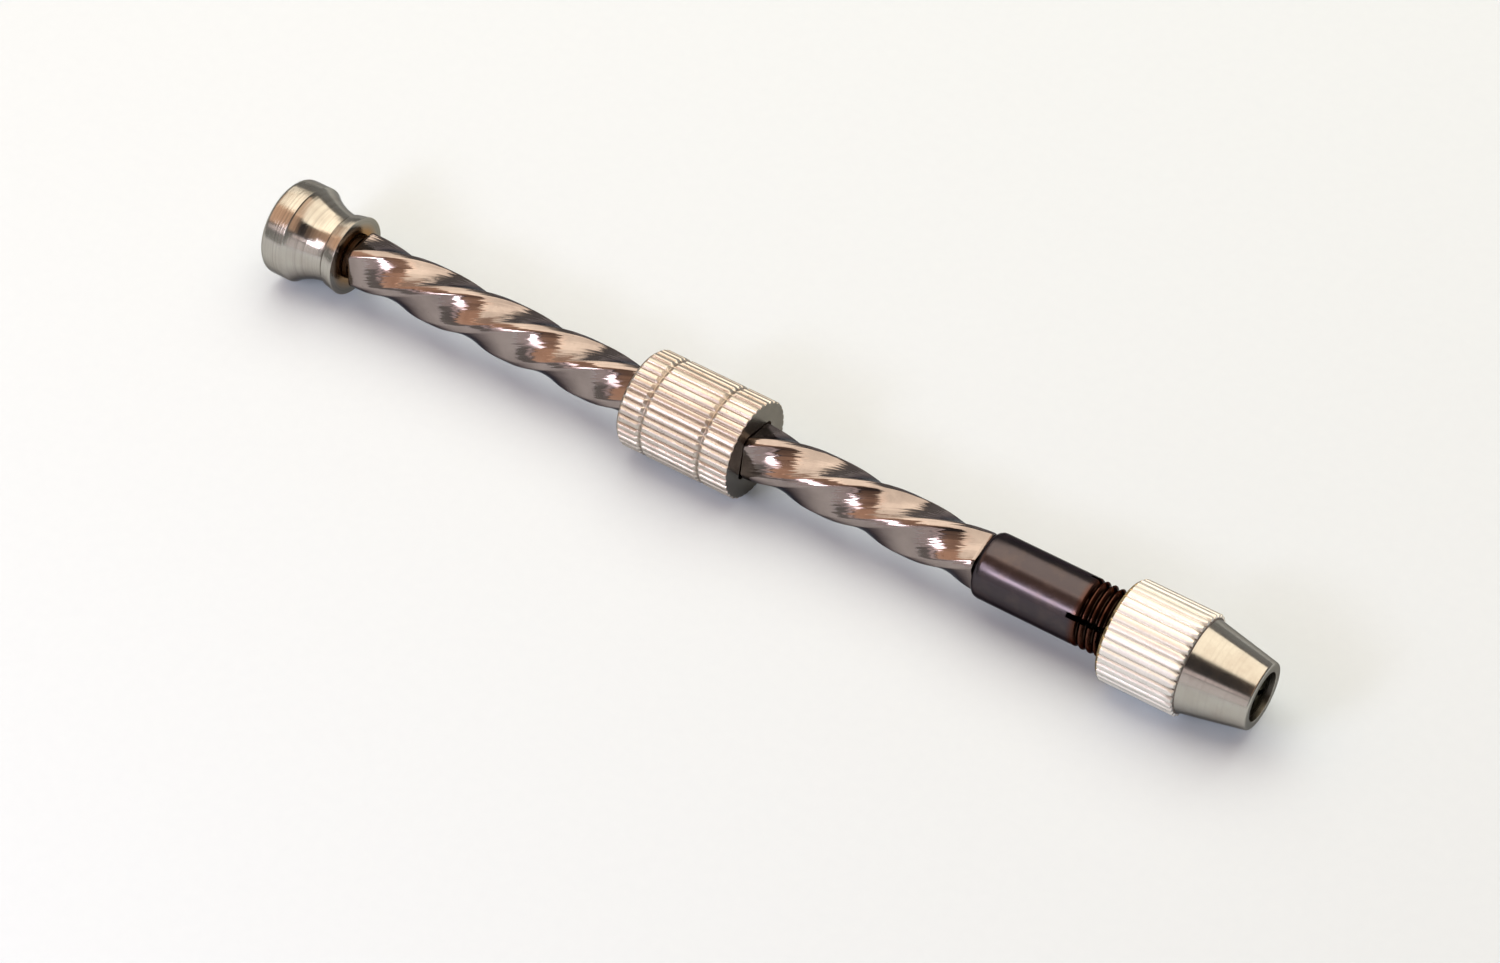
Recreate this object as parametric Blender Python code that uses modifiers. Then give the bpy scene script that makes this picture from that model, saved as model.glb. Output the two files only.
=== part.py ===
"""Archimedes drill: a small all-metal spiral push drill, lying on its side with its nose towards +X.

Every piece is turned about one axis, so each is modelled along its own Z and hangs from an empty
that lays Z along the world's X. All sizes are in metres.
"""

import math

import bmesh
import bpy
from mathutils import Matrix

# Lengths along the axis, in order from the palm face to the nose
KNOB_LENGTH = 0.00805
SPINDLE_EXPOSED = 0.0723
STEM_EXPOSED = 0.0142
NUT_LENGTH = 0.0144

# Clearances
SEAT_GAP = 0.00015
RUNNING_GAP = 0.0001
DRIVE_GAP = 0.00012
CORNER_GAP = 0.00027

# Knob
KNOB_DIAMETER = 0.0100
RIM_WIDTH = 0.0027
RIM_EDGE = 0.0001
PALM_EDGE_RADIUS = 0.0006
NECK_DIAMETER = 0.00716
COLLAR_DIAMETER = 0.0082
COLLAR_BACK_DIAMETER = 0.00764
COLLAR_WIDTH = 0.0012
COLLAR_EDGE = 0.0002
NECK_STEP_LENGTH = 0.00006

# Pivot inside the knob, and the thrust washer in front of its collar
JOURNAL_DIAMETER = 0.0030
BUSH_DIAMETER = 0.0044
BUSH_LENGTH = 0.0045
BUSH_RECESS = 0.0001
THRUST_WASHER_DIAMETER = 0.0046
THRUST_WASHER_THICKNESS = 0.0005
RETAINER_DIAMETER = 0.0040
RETAINER_THICKNESS = 0.0005
SCREW_SHANK_DIAMETER = 0.0015
SCREW_SHANK_LENGTH = 0.0024
SCREW_HEAD_DIAMETER = 0.0030
SCREW_HEAD_HEIGHT = 0.0008
SCREW_SLOT_WIDTH = 0.0004
SCREW_SLOT_DEPTH = 0.0003

# Spindle: square bar whose corners are turned off to a round, twisted left-handed
SPINDLE_FLATS = 0.00459
SPINDLE_CORNER_DIAMETER = 0.00565
SPIRAL_LEAD = 0.03617
SPIRAL_PHASE = math.radians(-4.03)
SPIGOT_DIAMETER = 0.0040
SPIGOT_LENGTH = 0.0060

# Slider
SLIDER_OFFSET = 0.0345
SLIDER_LENGTH = 0.0125
SLIDER_DIAMETER = 0.0100
SLIDER_CHAMFER = 0.0003
SLIDER_FLUTES = 36
SLIDER_FLUTE_ANGLE = math.radians(8.3)
GROOVE_FROM_REAR = 0.00264
GROOVE_FROM_FRONT = 0.00335
GROOVE_WIDTH = 0.0006
GROOVE_DEPTH = 0.0003
FRONT_WALL = 0.0022
PLATE_DIAMETER = 0.0078
PLATE_THICKNESS = 0.0020

# Collet stem
STEM_DIAMETER = 0.00656
STEM_EDGE = 0.0003
THREAD_UNDER_NUT = 0.0062
JAW_BACK_DIAMETER = 0.0060
JAW_FRONT_DIAMETER = 0.0041
JAW_RECESS = 0.0006
JAW_MOUTH_CHAMFER = 0.0002
BIT_BORE_DIAMETER = 0.0012
BIT_BORE_LENGTH = 0.0060
RELIEF_DIAMETER = 0.0030
SLIT_WIDTH = 0.00055
SLIT_BEHIND_NUT = 0.0043
SLIT_ANGLE = math.radians(56.3)

# Chuck nut
NUT_DIAMETER = 0.0101
NUT_BACK_CHAMFER = 0.00035
NUT_FLUTES = 35
NUT_FLUTE_ANGLE = math.radians(8.1)
KNURL_LENGTH = 0.0079
KNURL_END_CHAMFER = 0.0003
CONE_BACK_DIAMETER = 0.0091
NOSE_DIAMETER = 0.0066
NOSE_EDGE = 0.00025
NOSE_HOLE_CHAMFER = 0.00025

# Knurl form, shared by the slider and the nut
FLUTE_DEPTH = 0.00028
FLUTE_CUTTER_SIZE = 0.0009

# Fineness
TURN_STEPS = 48
STEPS_PER_FLUTE = 2
TWIST_STEP = math.radians(9)
FLAT_SEGMENTS = 3
LAND_SEGMENTS = 2
COVE_STEPS = 7
EDGE_STEPS = 3
MERGE = 1e-6
CUT_OVERRUN = 0.001
SHARP_ANGLE = math.radians(30)

# Stations along the axis
OVERALL_LENGTH = KNOB_LENGTH + SPINDLE_EXPOSED + STEM_EXPOSED + NUT_LENGTH
AXIS_HEIGHT = max(KNOB_DIAMETER, SLIDER_DIAMETER, NUT_DIAMETER) / 2
PALM = -OVERALL_LENGTH / 2
MOUTH = PALM + KNOB_LENGTH
STEM_BACK = MOUTH + SPINDLE_EXPOSED
NUT_BACK = STEM_BACK + STEM_EXPOSED
NOSE = NUT_BACK + NUT_LENGTH
THRUST_WASHER_BACK = MOUTH + SEAT_GAP
THRUST_WASHER_FRONT = THRUST_WASHER_BACK + THRUST_WASHER_THICKNESS
SHOULDER = THRUST_WASHER_FRONT + SEAT_GAP
BUSH_FRONT = MOUTH - BUSH_RECESS
BUSH_BACK = BUSH_FRONT - BUSH_LENGTH
RETAINER_FRONT = BUSH_BACK - SEAT_GAP
JOURNAL_END = RETAINER_FRONT + SEAT_GAP
RETAINER_BACK = RETAINER_FRONT - RETAINER_THICKNESS
SCREW_HEAD_FRONT = RETAINER_BACK - SEAT_GAP
SCREW_HEAD_BACK = SCREW_HEAD_FRONT - SCREW_HEAD_HEIGHT
TWIST_END = STEM_BACK - SEAT_GAP
SLIDER_BACK = MOUTH + SLIDER_OFFSET
SLIDER_FRONT = SLIDER_BACK + SLIDER_LENGTH
JAW_FRONT = NOSE - JAW_RECESS
JAW_BACK = NUT_BACK + THREAD_UNDER_NUT


def new_collection(name):
    collection = bpy.data.collections.new(name)
    bpy.context.scene.collection.children.link(collection)
    return collection


def metal(name, colour, roughness):
    material = bpy.data.materials.new(name)
    material.use_nodes = True
    shader = material.node_tree.nodes["Principled BSDF"]
    shader.inputs["Base Color"].default_value = (*colour, 1)
    shader.inputs["Metallic"].default_value = 1
    shader.inputs["Roughness"].default_value = roughness
    return material


def place(obj, collection, angle=0):
    """Hangs an object from the axis, turned by angle about it. Its Z is the station along the axis."""
    obj.parent = AXIS
    obj.rotation_euler = (0, 0, angle)
    collection.objects.link(obj)
    return obj


def cutter(obj, angle=0):
    obj.hide_render = True
    obj.display_type = "WIRE"
    return place(obj, CUTTERS, angle)


def object_of(name, bm):
    mesh = bpy.data.meshes.new(name)
    bm.to_mesh(mesh)
    bm.free()
    return bpy.data.objects.new(name, mesh)


def outline(name, points, closed):
    """A mesh of edges through points given as (x, y, z)."""
    bm = bmesh.new()
    verts = [bm.verts.new(point) for point in points]
    for first, second in zip(verts, verts[1:]):
        bm.edges.new((first, second))
    if closed:
        bm.edges.new((verts[-1], verts[0]))
    return object_of(name, bm)


def turned(name, profile, closed=False, steps=TURN_STEPS):
    """A turned piece. The profile, as (radius, station), runs down its outer side towards the palm."""
    obj = outline(name, [(radius, 0, station) for radius, station in profile], closed)
    screw = obj.modifiers.new("Turn", "SCREW")
    screw.axis = "Z"
    screw.angle = math.tau
    screw.steps = steps
    screw.render_steps = steps
    screw.use_merge_vertices = True
    screw.merge_threshold = MERGE
    return obj


def ring(name, outer, inner, front, back):
    corners = [(outer, front), (outer, back), (inner, back), (inner, front)]
    return turned(name, corners, closed=True)


def evaluated_mesh(obj):
    bpy.context.view_layer.update()
    graph = bpy.context.evaluated_depsgraph_get()
    return bpy.data.meshes.new_from_object(obj.evaluated_get(graph))


def combine(obj, other, operation="DIFFERENCE"):
    boolean = obj.modifiers.new(other.name, "BOOLEAN")
    boolean.operation = operation
    boolean.object = other


def spiral_angle(station):
    """Where a flat of the spindle faces, round the axis, at a station along it."""
    return SPIRAL_PHASE - math.tau * (station - SHOULDER) / SPIRAL_LEAD


def square_section(flats, corner_diameter):
    """A square with its corners cut to a circle, as polar points (angle, radius)."""
    half = flats / 2
    radius = corner_diameter / 2
    edge = math.acos(half / radius)
    points = []
    for side in range(4):
        facing = side * math.pi / 2
        for step in range(FLAT_SEGMENTS):
            across = half * math.tan(edge) * (2 * step / FLAT_SEGMENTS - 1)
            points.append((facing + math.atan2(across, half), math.hypot(across, half)))
        land = math.pi / 2 - 2 * edge
        for step in range(LAND_SEGMENTS):
            points.append((facing + edge + land * step / LAND_SEGMENTS, radius))
    return points


def twisted_bar(name, flats, corner_diameter, back, front):
    """The spiral bar between two stations: its section swept along the axis as it turns."""
    start = spiral_angle(back)
    section = [
        (radius * math.cos(angle + start), radius * math.sin(angle + start), back)
        for angle, radius in square_section(flats, corner_diameter)
    ]
    sweep = outline(name + "_sweep", section, closed=True)
    turn = spiral_angle(front) - start
    screw = sweep.modifiers.new("Twist", "SCREW")
    screw.axis = "Z"
    screw.angle = turn
    screw.screw_offset = front - back
    screw.steps = math.ceil(abs(turn) / TWIST_STEP) + 1
    screw.render_steps = screw.steps
    screw.use_merge_vertices = False
    bpy.context.scene.collection.objects.link(sweep)
    bm = bmesh.new()
    bm.from_mesh(evaluated_mesh(sweep))
    bpy.data.objects.remove(sweep)
    bmesh.ops.holes_fill(bm, edges=[edge for edge in bm.edges if edge.is_boundary])
    bmesh.ops.recalc_face_normals(bm, faces=bm.faces)
    bmesh.ops.triangulate(bm, faces=bm.faces)
    return object_of(name, bm)


def flute_cutters(name, count, diameter, back, front):
    """Square rods set cornerwise round a knurled piece, one for each V-shaped flute."""
    bm = bmesh.new()
    radius = diameter / 2 - FLUTE_DEPTH + FLUTE_CUTTER_SIZE
    middle = (back + front) / 2
    for flute in range(count):
        turn = Matrix.Rotation(math.tau * flute / count, 4, "Z")
        bmesh.ops.create_cone(
            bm,
            cap_ends=True,
            segments=4,
            radius1=FLUTE_CUTTER_SIZE,
            radius2=FLUTE_CUTTER_SIZE,
            depth=front - back + 2 * CUT_OVERRUN,
            matrix=turn @ Matrix.Translation((radius, 0, middle)),
        )
    return object_of(name, bm)


def slot_cutter(name, width, across, back, front):
    bm = bmesh.new()
    size = Matrix.Diagonal((across, width, front - back, 1))
    bmesh.ops.create_cube(bm, size=1, matrix=Matrix.Translation((0, 0, (back + front) / 2)) @ size)
    return object_of(name, bm)


def rounded_edge(radius, station, edge):
    """A quarter round from the outer side at radius to the end face at station, facing the palm."""
    points = []
    for step in range(EDGE_STEPS + 1):
        turn = math.pi / 2 * step / EDGE_STEPS
        points.append((radius - edge + edge * math.cos(turn), station + edge - edge * math.sin(turn)))
    return points


def knob():
    rim = KNOB_DIAMETER / 2
    neck = NECK_DIAMETER / 2
    collar = COLLAR_DIAMETER / 2
    seat = BUSH_DIAMETER / 2 + SEAT_GAP
    cavity = RETAINER_DIAMETER / 2 + SEAT_GAP
    floor = SCREW_HEAD_BACK - SEAT_GAP
    neck_front = MOUTH - COLLAR_WIDTH - NECK_STEP_LENGTH
    cove_length = neck_front - PALM - RIM_WIDTH
    rise = rim - RIM_EDGE - neck
    cove_radius = (cove_length**2 + rise**2) / (2 * rise)
    profile = [
        (0, floor),
        (cavity, floor),
        (cavity, BUSH_BACK - SEAT_GAP),
        (seat, BUSH_BACK - SEAT_GAP),
        (seat, MOUTH),
        (collar - COLLAR_EDGE, MOUTH),
        (collar, MOUTH - COLLAR_EDGE),
        (COLLAR_BACK_DIAMETER / 2, MOUTH - COLLAR_WIDTH),
    ]
    for step in range(COVE_STEPS + 1):
        back = cove_length * step / COVE_STEPS
        profile.append((neck + cove_radius - math.sqrt(cove_radius**2 - back**2), neck_front - back))
    profile.append((rim, PALM + RIM_WIDTH - RIM_EDGE))
    profile += rounded_edge(rim, PALM, PALM_EDGE_RADIUS)
    profile.append((0, PALM))
    return place(turned("knob", profile), DRILL)


def pivot_bush():
    bore = JOURNAL_DIAMETER / 2 + RUNNING_GAP
    return place(ring("pivot_bush", BUSH_DIAMETER / 2, bore, BUSH_FRONT, BUSH_BACK), DRILL)


def thrust_washer():
    bore = JOURNAL_DIAMETER / 2 + RUNNING_GAP
    outer = THRUST_WASHER_DIAMETER / 2
    return place(ring("thrust_washer", outer, bore, THRUST_WASHER_FRONT, THRUST_WASHER_BACK), DRILL)


def retaining_washer():
    bore = SCREW_SHANK_DIAMETER / 2 + SEAT_GAP
    outer = RETAINER_DIAMETER / 2
    return place(ring("retaining_washer", outer, bore, RETAINER_FRONT, RETAINER_BACK), DRILL)


def pivot_screw():
    shank = SCREW_SHANK_DIAMETER / 2
    head = SCREW_HEAD_DIAMETER / 2
    profile = [
        (0, SCREW_HEAD_FRONT + SCREW_SHANK_LENGTH),
        (shank, SCREW_HEAD_FRONT + SCREW_SHANK_LENGTH),
        (shank, SCREW_HEAD_FRONT),
        (head, SCREW_HEAD_FRONT),
        (head, SCREW_HEAD_BACK),
        (0, SCREW_HEAD_BACK),
    ]
    screw = place(turned("pivot_screw", profile), DRILL)
    slot = slot_cutter(
        "screw_slot_cutter",
        SCREW_SLOT_WIDTH,
        SCREW_HEAD_DIAMETER + 2 * CUT_OVERRUN,
        SCREW_HEAD_BACK - CUT_OVERRUN,
        SCREW_HEAD_BACK + SCREW_SLOT_DEPTH,
    )
    combine(screw, cutter(slot))
    return screw


def spindle():
    """The twisted bar, joined to a core whose ends are the rear journal and the front spigot."""
    bar = twisted_bar("spindle", SPINDLE_FLATS, SPINDLE_CORNER_DIAMETER, SHOULDER, TWIST_END)
    journal = JOURNAL_DIAMETER / 2
    spigot = SPIGOT_DIAMETER / 2
    tapped = SCREW_SHANK_DIAMETER / 2 + SEAT_GAP
    tapped_end = SCREW_HEAD_FRONT + SCREW_SHANK_LENGTH + SEAT_GAP
    middle = (SHOULDER + TWIST_END) / 2
    profile = [
        (0, STEM_BACK + SPIGOT_LENGTH),
        (spigot, STEM_BACK + SPIGOT_LENGTH),
        (spigot, middle),
        (journal, middle),
        (journal, JOURNAL_END),
        (tapped, JOURNAL_END),
        (tapped, tapped_end),
        (0, tapped_end),
    ]
    combine(place(bar, DRILL), cutter(turned("spindle_core", profile)), "UNION")
    return bar


def twisted_hole_cutter(name, back, front):
    return cutter(
        twisted_bar(
            name,
            SPINDLE_FLATS + 2 * DRIVE_GAP,
            SPINDLE_CORNER_DIAMETER + 2 * CORNER_GAP,
            back - CUT_OVERRUN,
            front + CUT_OVERRUN,
        )
    )


def slider_sleeve():
    """Knurled cup: bored from the rear, with the front wall left for the twisted square hole."""
    outer = SLIDER_DIAMETER / 2
    bore = SPINDLE_CORNER_DIAMETER / 2 + 2 * CORNER_GAP
    plate_seat = PLATE_DIAMETER / 2 + SEAT_GAP
    seat_end = SLIDER_BACK + PLATE_THICKNESS + SEAT_GAP
    profile = [
        (0, SLIDER_FRONT),
        (outer - SLIDER_CHAMFER, SLIDER_FRONT),
        (outer, SLIDER_FRONT - SLIDER_CHAMFER),
    ]
    for groove in (SLIDER_FRONT - GROOVE_FROM_FRONT, SLIDER_BACK + GROOVE_FROM_REAR):
        profile.append((outer, groove + GROOVE_WIDTH / 2))
        profile.append((outer - GROOVE_DEPTH, groove))
        profile.append((outer, groove - GROOVE_WIDTH / 2))
    profile += [
        (outer, SLIDER_BACK + SLIDER_CHAMFER),
        (outer - SLIDER_CHAMFER, SLIDER_BACK),
        (plate_seat, SLIDER_BACK),
        (plate_seat, seat_end),
        (bore, seat_end),
        (bore, SLIDER_FRONT - FRONT_WALL),
        (0, SLIDER_FRONT - FRONT_WALL),
    ]
    steps = SLIDER_FLUTES * STEPS_PER_FLUTE
    sleeve = place(turned("slider_sleeve", profile, steps=steps), DRILL, SLIDER_FLUTE_ANGLE)
    flutes = flute_cutters(
        "slider_flute_cutters", SLIDER_FLUTES, SLIDER_DIAMETER, SLIDER_BACK, SLIDER_FRONT
    )
    combine(sleeve, cutter(flutes, SLIDER_FLUTE_ANGLE))
    combine(sleeve, twisted_hole_cutter("front_hole_cutter", SLIDER_FRONT - FRONT_WALL, SLIDER_FRONT))
    return sleeve


def rear_drive_plate():
    radius = PLATE_DIAMETER / 2
    front = SLIDER_BACK + PLATE_THICKNESS
    profile = [(0, front), (radius, front), (radius, SLIDER_BACK), (0, SLIDER_BACK)]
    plate = place(turned("rear_drive_plate", profile), DRILL)
    combine(plate, twisted_hole_cutter("rear_hole_cutter", SLIDER_BACK, front))
    return plate


def collet_stem():
    """Socket for the spindle behind, thread in the middle, and four jaws in front, parted by two slots."""
    outer = STEM_DIAMETER / 2
    socket = SPIGOT_DIAMETER / 2 + SEAT_GAP
    socket_end = STEM_BACK + SPIGOT_LENGTH + SEAT_GAP
    jaw_front = JAW_FRONT_DIAMETER / 2
    bit_bore = BIT_BORE_DIAMETER / 2
    relief = RELIEF_DIAMETER / 2
    slit_back = NUT_BACK - SLIT_BEHIND_NUT
    profile = [
        (0, slit_back),
        (relief, slit_back),
        (relief, JAW_FRONT - BIT_BORE_LENGTH),
        (bit_bore, JAW_FRONT - BIT_BORE_LENGTH),
        (bit_bore, JAW_FRONT),
        (jaw_front - JAW_MOUTH_CHAMFER, JAW_FRONT),
        (jaw_front, JAW_FRONT - JAW_MOUTH_CHAMFER),
        (JAW_BACK_DIAMETER / 2, JAW_BACK),
        (outer, JAW_BACK),
    ]
    profile += rounded_edge(outer, STEM_BACK, STEM_EDGE)
    profile += [(socket, STEM_BACK), (socket, socket_end), (0, socket_end)]
    stem = place(turned("collet_stem", profile), DRILL)
    for slit in range(2):
        slot = slot_cutter(
            f"slit_cutter_{slit}",
            SLIT_WIDTH,
            STEM_DIAMETER + 2 * CUT_OVERRUN,
            slit_back,
            JAW_FRONT + CUT_OVERRUN,
        )
        combine(stem, cutter(slot, SLIT_ANGLE + slit * math.pi / 2))
    return stem


def chuck_nut():
    """Knurled sleeve and tapered nose. Inside, a clear bore over the thread and a cone over the jaws."""
    outer = NUT_DIAMETER / 2
    nose = NOSE_DIAMETER / 2
    thread_bore = STEM_DIAMETER / 2 + SEAT_GAP
    hole = JAW_FRONT_DIAMETER / 2 + SEAT_GAP
    cone_back = JAW_BACK_DIAMETER / 2 + SEAT_GAP
    knurl_end = NUT_BACK + KNURL_LENGTH
    shoulder = outer - CONE_BACK_DIAMETER / 2
    profile = [
        (hole, NOSE - NOSE_HOLE_CHAMFER),
        (hole + NOSE_HOLE_CHAMFER, NOSE),
        (nose - NOSE_EDGE, NOSE),
        (nose, NOSE - NOSE_EDGE),
        (CONE_BACK_DIAMETER / 2, knurl_end + shoulder - KNURL_END_CHAMFER),
        (outer - KNURL_END_CHAMFER, knurl_end),
        (outer, knurl_end - KNURL_END_CHAMFER),
        (outer, NUT_BACK + NUT_BACK_CHAMFER),
        (outer - NUT_BACK_CHAMFER, NUT_BACK),
        (thread_bore, NUT_BACK),
        (thread_bore, JAW_BACK + SEAT_GAP),
        (cone_back, JAW_BACK + SEAT_GAP),
        (hole, JAW_FRONT),
    ]
    steps = NUT_FLUTES * STEPS_PER_FLUTE
    nut = place(turned("chuck_nut", profile, closed=True, steps=steps), DRILL, NUT_FLUTE_ANGLE)
    flutes = flute_cutters("nut_flute_cutters", NUT_FLUTES, NUT_DIAMETER, NUT_BACK, knurl_end)
    combine(nut, cutter(flutes, NUT_FLUTE_ANGLE))
    return nut


def finish(obj, material):
    """Keeps the finished shape as a plain mesh, shaded smooth between its sharp edges."""
    mesh = evaluated_mesh(obj)
    mesh.shade_smooth()
    mesh.set_sharp_from_angle(angle=SHARP_ANGLE)
    mesh.materials.clear()
    mesh.materials.append(material)
    obj.modifiers.clear()
    obj.data = mesh


for old in list(bpy.data.objects):
    bpy.data.objects.remove(old)

DRILL = new_collection("archimedes_drill")
CUTTERS = new_collection("cutters")
AXIS = bpy.data.objects.new("drill_axis", None)
AXIS.location = (0, 0, AXIS_HEIGHT)
AXIS.rotation_euler = (0, math.pi / 2, 0)
DRILL.objects.link(AXIS)

nickel = metal("nickel_plate", (0.74, 0.69, 0.62), 0.22)
bright_steel = metal("drawn_steel", (0.55, 0.50, 0.48), 0.25)
black_steel = metal("black_steel", (0.07, 0.06, 0.055), 0.35)
bronze = metal("bearing_bronze", (0.60, 0.42, 0.22), 0.35)
plain_steel = metal("plain_steel", (0.50, 0.50, 0.51), 0.30)

pieces = (
    (knob(), nickel),
    (pivot_bush(), bronze),
    (thrust_washer(), plain_steel),
    (retaining_washer(), plain_steel),
    (pivot_screw(), plain_steel),
    (spindle(), bright_steel),
    (slider_sleeve(), nickel),
    (rear_drive_plate(), nickel),
    (collet_stem(), black_steel),
    (chuck_nut(), nickel),
)
for piece, piece_material in pieces:
    finish(piece, piece_material)
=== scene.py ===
"""Looks of a small spiral push drill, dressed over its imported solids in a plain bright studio.

Every piece is turned about one axis, so each is swept as rings round it. Stations along the axis and
radii out from it are in millimetres, and become metres in the mesh. The floor, the lamps and the
camera are placed in metres.
"""

import math
from collections import namedtuple

import bmesh
import bpy
import numpy as np
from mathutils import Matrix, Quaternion, Vector


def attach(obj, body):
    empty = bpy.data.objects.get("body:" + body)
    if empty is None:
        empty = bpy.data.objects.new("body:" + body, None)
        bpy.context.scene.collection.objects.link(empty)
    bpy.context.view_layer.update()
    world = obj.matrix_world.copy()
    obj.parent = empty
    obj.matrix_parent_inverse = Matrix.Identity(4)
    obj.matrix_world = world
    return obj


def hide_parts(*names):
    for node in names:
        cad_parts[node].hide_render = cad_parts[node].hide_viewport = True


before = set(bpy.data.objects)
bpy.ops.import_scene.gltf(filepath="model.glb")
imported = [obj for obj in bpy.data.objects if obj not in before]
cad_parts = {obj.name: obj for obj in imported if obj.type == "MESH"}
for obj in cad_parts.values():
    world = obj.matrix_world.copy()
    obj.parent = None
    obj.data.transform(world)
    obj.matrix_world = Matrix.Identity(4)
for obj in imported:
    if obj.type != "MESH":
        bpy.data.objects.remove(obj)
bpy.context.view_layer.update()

MM = 0.001

# Lengths along the axis, in order from the palm face to the nose
KNOB_LENGTH = 8.05
SPINDLE_EXPOSED = 72.3
STEM_EXPOSED = 14.2
NUT_LENGTH = 14.4

# Gaps between the pieces
SEAT_GAP = 0.15
DRIVE_GAP = 0.12
CORNER_GAP = 0.27

# Knob
RIM_RADIUS = 5.0
RIM_WIDTH = 2.7
RIM_EDGE = 0.1
PALM_ROUND = 0.6
NECK_RADIUS = 3.58
NECK_STEP = 0.06
COVE_STEPS = 24
COLLAR_RADIUS = 4.1
COLLAR_BACK_RADIUS = 3.84
COLLAR_WIDTH = 1.3
BUSH_HOLE_RADIUS = 2.35
BUSH_HOLE_DEPTH = 4.75
PIVOT_HOLE_RADIUS = 2.15
PIVOT_HOLE_DEPTH = 6.35

# Spindle: square bar with turned-off corners, twisted left-handed
FLATS = 4.59
CORNER_RADIUS = 2.825
CORNER_EASE = 0.05
LEAD = 36.17
SPIRAL_PHASE = math.radians(-4.03)
END_EASE = 0.12
END_SHARE = 0.97
JOURNAL_RADIUS = 1.5
JOURNAL_LENGTH = 5.4
SCREW_HOLE_RADIUS = 0.9
SCREW_HOLE_DEPTH = 1.3
SPIGOT_RADIUS = 2.0
SPIGOT_LENGTH = 6.0
TURNED_EDGE = 0.1
WASHER_THICKNESS = 0.5

# Slider
SLIDER_OFFSET = 34.5
SLIDER_LENGTH = 12.5
SLIDER_RADIUS = 5.0
SLIDER_FRONT_CHAMFER = 0.07
SLIDER_BACK_CHAMFER = 0.3
GROOVE_FROM_FRONT = 3.35
GROOVE_FROM_BACK = 2.64
GROOVE_HALF_WIDTH = 0.36
GROOVE_DEPTH = 0.26
FRONT_WALL = 2.2
SLIDER_BORE_RADIUS = 3.365
PLATE_SEAT_RADIUS = 4.05
PLATE_SEAT_DEPTH = 2.15

# Knurls
FLUTE_ROUND = 0.05
CREST_ROUND = 0.07
SLIDER_FLUTES = 36
SLIDER_FLUTE_DEPTH = 0.25
SLIDER_FLUTE_SLOPE = 1.5
SLIDER_FLUTE_ANGLE = math.radians(8.3)
NUT_FLUTES = 35
NUT_FLUTE_DEPTH = 0.2
NUT_FLUTE_END_DEPTH = 0.42
NUT_FLUTE_END_LENGTH = 0.55
NUT_FLUTE_SLOPE = 1.4
NUT_FLUTE_ANGLE = math.radians(8.1)

# Collet stem
STEM_RADIUS = 3.28
STEM_ROUND = 0.75
THREAD_BEHIND_NUT = 3.595
THREAD_UNDER_NUT = 6.2
THREAD_PITCH = 0.8
THREAD_DEPTH = 0.34
THREAD_LEAD_IN = 0.6
JAW_RECESS = 0.6
JAW_BACK_RADIUS = 3.0
JAW_FRONT_RADIUS = 2.05
BIT_BORE_RADIUS = 0.6
BIT_BORE_LENGTH = 6.0
RELIEF_RADIUS = 1.5
SLIT_BEHIND_NUT = 4.3
SLIT_WIDTH = 0.55
SLIT_ANGLE = math.radians(56.3)
CUT_WELD = 0.0005

# Chuck nut
NUT_RADIUS = 5.05
NUT_BACK_CHAMFER = 0.35
NUT_BORE_RADIUS = 3.43
NUT_BORE_MOUTH = 3.6
KNURL_LENGTH = 7.9
KNURL_FACE_RADIUS = 4.68
CONE_BACK_RADIUS = 4.6
NOSE_RADIUS = 3.3
NOSE_ROUND = 0.25
NOSE_HOLE_RADIUS = 2.2
COUNTERBORE_RADIUS = 2.43
COUNTERBORE_DEPTH = 0.5

# Stations along the axis
PALM = -(KNOB_LENGTH + SPINDLE_EXPOSED + STEM_EXPOSED + NUT_LENGTH) / 2
MOUTH = PALM + KNOB_LENGTH
SHOULDER = MOUTH + WASHER_THICKNESS + 2 * SEAT_GAP
JOURNAL_END = SHOULDER - JOURNAL_LENGTH
STEM_BACK = MOUTH + SPINDLE_EXPOSED
TWIST_END = STEM_BACK - SEAT_GAP
SPIGOT_END = STEM_BACK + SPIGOT_LENGTH
NUT_BACK = STEM_BACK + STEM_EXPOSED
NOSE = NUT_BACK + NUT_LENGTH
KNURL_END = NUT_BACK + KNURL_LENGTH
SLIDER_BACK = MOUTH + SLIDER_OFFSET
SLIDER_FRONT = SLIDER_BACK + SLIDER_LENGTH
GROOVES = (SLIDER_FRONT - GROOVE_FROM_FRONT, SLIDER_BACK + GROOVE_FROM_BACK)
THREAD_START = NUT_BACK - THREAD_BEHIND_NUT
SLIT_BACK = NUT_BACK - SLIT_BEHIND_NUT
JAW_BACK = NUT_BACK + THREAD_UNDER_NUT
JAW_FRONT = NOSE - JAW_RECESS
AXIS_HEIGHT = NUT_RADIUS


def link(obj):
    bpy.context.scene.collection.objects.link(obj)
    return obj


def fillet(points, steps=5):
    """Rounds a profile of (radius, station) points at each point that gives a third value, its rounding."""
    made = []
    for index, point in enumerate(points):
        here = Vector(point[:2])
        if len(point) < 3:
            made.append(tuple(here))
            continue
        before = (Vector(points[index - 1][:2]) - here).normalized()
        after = (Vector(points[index + 1][:2]) - here).normalized()
        half = before.angle(after) / 2
        reach = point[2] / math.tan(half)
        centre = here + (before + after).normalized() * (point[2] / math.sin(half))
        first = here + before * reach - centre
        last = here + after * reach - centre
        for step in range(steps + 1):
            made.append(tuple(centre + first.slerp(last, step / steps).normalized() * point[2]))
    return made


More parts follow.
